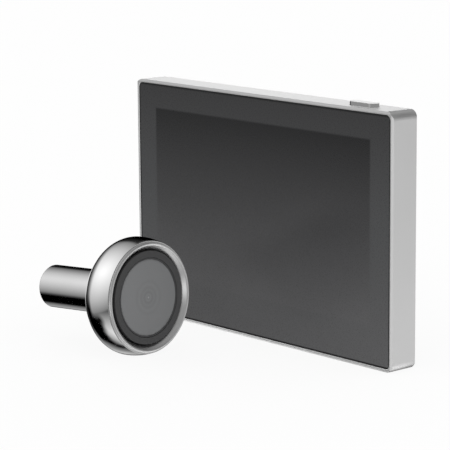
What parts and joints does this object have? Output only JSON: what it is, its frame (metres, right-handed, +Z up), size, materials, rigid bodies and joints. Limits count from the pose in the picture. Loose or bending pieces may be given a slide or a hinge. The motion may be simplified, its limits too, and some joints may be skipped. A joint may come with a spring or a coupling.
{
  "type": "peephole door camera",
  "caption": "Door viewer: a flat indoor screen unit with a door bracket behind it, and a round chromed camera head with a bell ring and a hollow barrel that goes through the door.",
  "frame": {"origin": "middle of the bottom face of the screen unit's frame, on the surface that the object stands on", "axes": "+X along the screen's width to its right as seen from the front, -Y the way the screen faces, +Z up"},
  "size_m": [0.1134, 0.0747, 0.0763],
  "materials": {
    "anodised_aluminium": "satin anodised",
    "cover_glass": "polished",
    "black_adhesive": "matt",
    "display": "smooth",
    "polyimide_film": "smooth",
    "connector_nylon": "matt",
    "stamped_steel": "bright plated",
    "steel_fasteners": "plated",
    "brass": "turned",
    "circuit_board": "solder mask",
    "black_circuit_board": "solder mask",
    "chip_resin": "matt",
    "black_plastic": "matt",
    "foam": "foam",
    "adhesive_foam": "foam tape",
    "pouch_foil": "foil laminate",
    "lead_insulation": "smooth",
    "dark_grey_plastic": "fine texture",
    "white_nylon": "smooth",
    "chromed_zinc": "polished",
    "black_rubber": "matt",
    "black_anodised": "black anodised",
    "lens_glass": "coated",
    "lamp_resin": "clear resin",
    "grey_window": "smooth",
    "dark_bell_plastic": "smooth"
  },
  "bodies": {
    "screen_unit": {"frame": "anodised_aluminium", "cover_glass": "cover_glass", "glass_border": "black_adhesive", "display_panel": "display", "display_ribbon": "polyimide_film", "display_connector": "connector_nylon", "back_plate": "stamped_steel", "plate_screws": "steel_fasteners", "main_board": "circuit_board", "board_spacers": "brass", "board_screws": "steel_fasteners", "processor_shield": "stamped_steel", "wireless_module": "stamped_steel", "board_chips": "chip_resin", "camera_socket": "connector_nylon", "charging_port": "stamped_steel", "power_switch": "chip_resin", "microphone": "brass", "speaker": "black_plastic", "speaker_seal": "foam", "battery_cell": "pouch_foil", "battery_pad": "adhesive_foam", "battery_guard": "circuit_board", "battery_lead": "lead_insulation", "battery_plug": "connector_nylon", "antenna_strip": "polyimide_film", "rear_cover": "dark_grey_plastic", "cover_screws": "steel_fasteners"},
    "power_button": {"power_button": "anodised_aluminium", "switch_plunger": "white_nylon"},
    "door_bracket": {"door_bracket": "stamped_steel", "hanging_studs": "steel_fasteners", "door_pad": "foam"},
    "camera_head": {"polished_ring": "chromed_zinc", "mounting_disc": "chromed_zinc", "barrel": "chromed_zinc", "ring_seal": "black_rubber", "door_gasket": "black_rubber", "cable_grommet": "black_rubber", "chassis": "black_plastic", "chassis_screws": "steel_fasteners", "camera_board": "circuit_board", "image_sensor": "chip_resin", "lens_holder": "black_plastic", "lens_barrel": "black_anodised", "lens_glass": "lens_glass", "lamp_board": "black_circuit_board", "infrared_lamps": "lamp_resin", "window": "grey_window", "window_seal": "black_rubber", "bell_board": "circuit_board", "bell_switches": "chip_resin", "head_microphone": "brass"},
    "bell_ring": {"bell_ring": "dark_bell_plastic", "bell_pins": "white_nylon"}
  },
  "joints": [
    {"name": "power_button_press", "type": "slide", "parent": "screen_unit", "child": "power_button", "axis": [0, 0, -1], "range_m": [0, 0.0006], "stiffness_N_per_m": 1500},
    {"name": "bracket_unhook", "type": "slide", "parent": "screen_unit", "child": "door_bracket", "axis": [0, 0, -1], "range_m": [0, 0.008]},
    {"name": "camera_lift", "type": "slide", "parent": "screen_unit", "child": "camera_head", "axis": [0, 0, 1], "range_m": [0, 0.08]},
    {"name": "bell_press", "type": "slide", "parent": "camera_head", "child": "bell_ring", "axis": [-0.9938, -0.0957, -0.0558], "range_m": [0, 0.0008], "stiffness_N_per_m": 1500}
  ]
}
